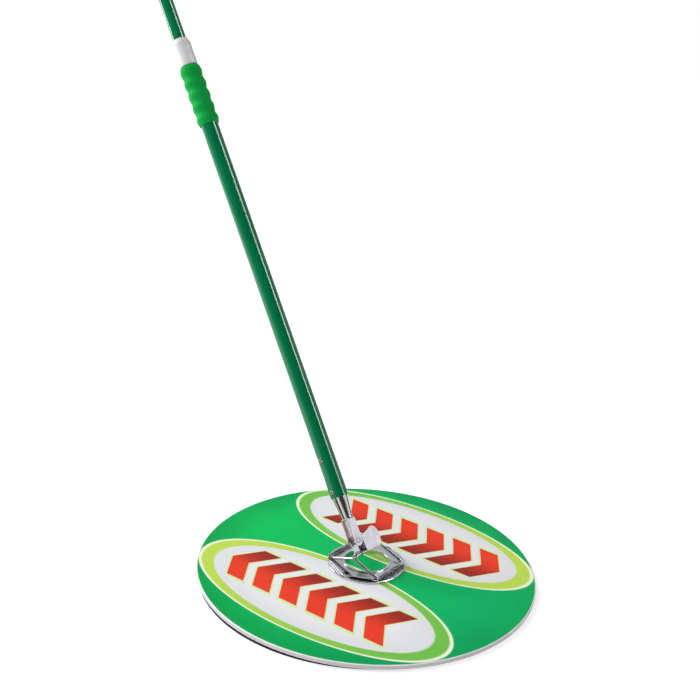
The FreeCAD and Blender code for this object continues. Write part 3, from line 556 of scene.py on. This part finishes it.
def mirrored_walls(tree):
    """Brightness by direction: a bright right wall, a dim left one, a grey back and the handle's strips."""
    direction = tree.nodes.new("ShaderNodeTexCoord")
    parts = tree.nodes.new("ShaderNodeSeparateXYZ")
    tree.links.new(direction.outputs["Generated"], parts.inputs[0])

    def bands(axis, shades):
        spread = tree.nodes.new("ShaderNodeMapRange")
        spread.inputs["From Min"].default_value = -1.0
        tree.links.new(parts.outputs[axis], spread.inputs["Value"])
        ramp = tree.nodes.new("ShaderNodeValToRGB")
        tree.links.new(spread.outputs["Result"], ramp.inputs["Fac"])
        while len(ramp.color_ramp.elements) < len(shades):
            ramp.color_ramp.elements.new(0.5)
        for element, (reach, shade) in zip(ramp.color_ramp.elements, shades):
            element.position = (reach + 1) / 2
            element.color = (shade, shade, shade, 1)
        return ramp.outputs["Color"]

    def mixed(kind, factor, first, second):
        made = tree.nodes.new("ShaderNodeMix")
        made.data_type = "RGBA"
        made.blend_type = kind
        for socket, value in zip((made.inputs[0], made.inputs[6], made.inputs[7]), (factor, first, second)):
            if isinstance(value, bpy.types.NodeSocket):
                tree.links.new(value, socket)
            else:
                socket.default_value = value
        return made.outputs[2]

    left_wall = [(-1, 0.2), (-0.9, 0.25), (-0.72, 0.25), (-0.6, 0.1)]
    right_wall = [(0.45, 0.03), (0.72, 0.1), (0.8, 1.1), (1, 1.0)]
    walls = bands("X", left_wall + right_wall)
    heights = bands("Z", [(-0.1, 1), (0.10, 1), (0.16, 0.35), (0.2, 1), (0.36, 1), (0.42, 0.12), (1, 0.08)])
    panels = mixed("MULTIPLY", 1.0, walls, heights)
    back = bands("Y", [(0.3, 0), (0.75, 1)])
    room = mixed("MIX", back, panels, (0.58, 0.58, 0.6, 1))
    strips = handle_strips(tree, direction.outputs["Generated"], parts.outputs["Z"])
    return mixed("ADD", 1.0, room, strips)


def handle_strips(tree, direction, height):
    """Two thin strips, in the planes that the handle's left and right flanks mirror to the camera."""
    view = (CAMERA_PLACE - SWIVEL_PIN).normalized()
    front = (view - HANDLE_AXIS * view.dot(HANDLE_AXIS)).normalized()
    side = HANDLE_AXIS.cross(front)

    def along(axis):
        made = tree.nodes.new("ShaderNodeVectorMath")
        made.operation = "DOT_PRODUCT"
        tree.links.new(direction, made.inputs[0])
        made.inputs[1].default_value = axis
        return made.outputs["Value"]

    def eased(value, start, end, top=1.0):
        made = tree.nodes.new("ShaderNodeMapRange")
        made.interpolation_type = "SMOOTHSTEP"
        tree.links.new(value, made.inputs["Value"])
        made.inputs["From Min"].default_value = start
        made.inputs["From Max"].default_value = end
        made.inputs["To Max"].default_value = top
        return made.outputs["Result"]

    def maths(operation, first, second=None):
        made = tree.nodes.new("ShaderNodeMath")
        made.operation = operation
        tree.links.new(first, made.inputs[0])
        if second is not None:
            tree.links.new(second, made.inputs[1])
        return made.outputs[0]

    def strip(turn_deg, half_width, power, lowest, highest):
        """Strip at a turn about the handle, from the camera's side round to the right."""
        turn = math.radians(turn_deg)
        toward = side * math.sin(turn) + front * math.cos(turn)
        across = side * math.cos(turn) - front * math.sin(turn)
        thin = eased(maths("ABSOLUTE", along(across)), half_width + 0.02, half_width, power)
        ahead = eased(along(toward), 0.1, 0.2)
        above = eased(height, lowest, lowest + 0.12)
        below = eased(height, highest, highest - 0.04)
        return maths("MULTIPLY", maths("MULTIPLY", thin, ahead), maths("MULTIPLY", above, below))

    right_strip = strip(68, half_width=0.12, power=15.0, lowest=0.40, highest=0.93)
    left_strip = strip(-114, half_width=0.16, power=3.0, lowest=0.0, highest=0.6)
    return maths("ADD", right_strip, left_strip)


def studio():
    studio_world()
    bpy.context.scene.view_settings.view_transform = "Standard"
    sun((-1.0, -0.1, 0.95), 2.5)
    lamp("left_strip", (-2.3, 1.1, 1.3), (-0.5, 0.5, 1.0), (0.3, 2.0), 34)


def camera():
    """Camera at the photograph's viewing angle, with its small roll."""
    pitch = math.radians(CAMERA_PITCH_DEG)
    roll = math.radians(CAMERA_ROLL_DEG)
    forward = Vector((0, math.cos(pitch), -math.sin(pitch)))
    right = Vector((1, 0, 0))
    down = Vector((0, -math.sin(pitch), -math.cos(pitch)))
    across = right * math.cos(roll) + down * math.sin(roll)
    below = down * math.cos(roll) - right * math.sin(roll)
    data = bpy.data.cameras.new("camera")
    data.sensor_width = SENSOR_MM
    data.lens = LENS_MM
    data.clip_end = 60
    piece = bpy.data.objects.new("camera", data)
    turn = Matrix((across, -below, -forward)).transposed().to_4x4()
    piece.matrix_world = Matrix.Translation(CAMERA_PLACE) @ turn
    bpy.context.scene.collection.objects.link(piece)
    bpy.context.scene.camera = piece


# ---------------------------------------------------------------- assembly


def main():
    plate = bright_steel("bright_plate", (214, 214, 220), 0.10, 160)
    wire = bright_steel("bright_wire", (224, 224, 228), 0.08, 420)
    zinc = zinc_steel()
    paint = tube_paint()
    black = moulded_plastic("lock_plastic", (34, 34, 36), (22, 22, 24), 0.4)
    looks = {
        "board": board_foam(),
        "printed_sheet": printed_film(),
        "hook_layer": hook_tape(),
        "bearing_base": plate, "turntable_plate": plate, "retaining_rim": wire,
        "cradle_wires": wire, "crossbar": wire, "end_collars": wire,
        "clip_plate": plate, "thumb_lever": plate, "yoke": plate, "ferrule": plate,
        "lever_pin": zinc, "lever_spring": zinc, "swivel_pin": zinc, "pin_spacer": zinc,
        "crown_rivet": zinc, "side_rivets": zinc, "base_screws": zinc, "tee_nuts": zinc,
        "bearing_balls": wire,
        "ball_cage": moulded_plastic("cage_plastic", (228, 224, 214), (210, 206, 196), 0.4),
        "outer_tube": paint, "inner_tube": paint,
        "lock_collar": moulded_plastic("collar_plastic", (222, 220, 220), (208, 206, 206), 0.38),
        "lock_spindle": black, "lock_sleeve": black,
        "end_cap": moulded_plastic("cap_plastic", (10, 140, 60), (6, 120, 50), 0.36),
    }
    for node, material in looks.items():
        dress(node, material)
    pad = soft_pad()
    pad.data.materials.append(pad_fabric())
    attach(pad, "board")
    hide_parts("floor_pad")
    grip = foam_grip()
    grip.data.materials.append(grip_foam())
    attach(grip, "handle")
    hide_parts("grip")
    floor()
    studio()
    camera()


main()
bpy.context.view_layer.update()
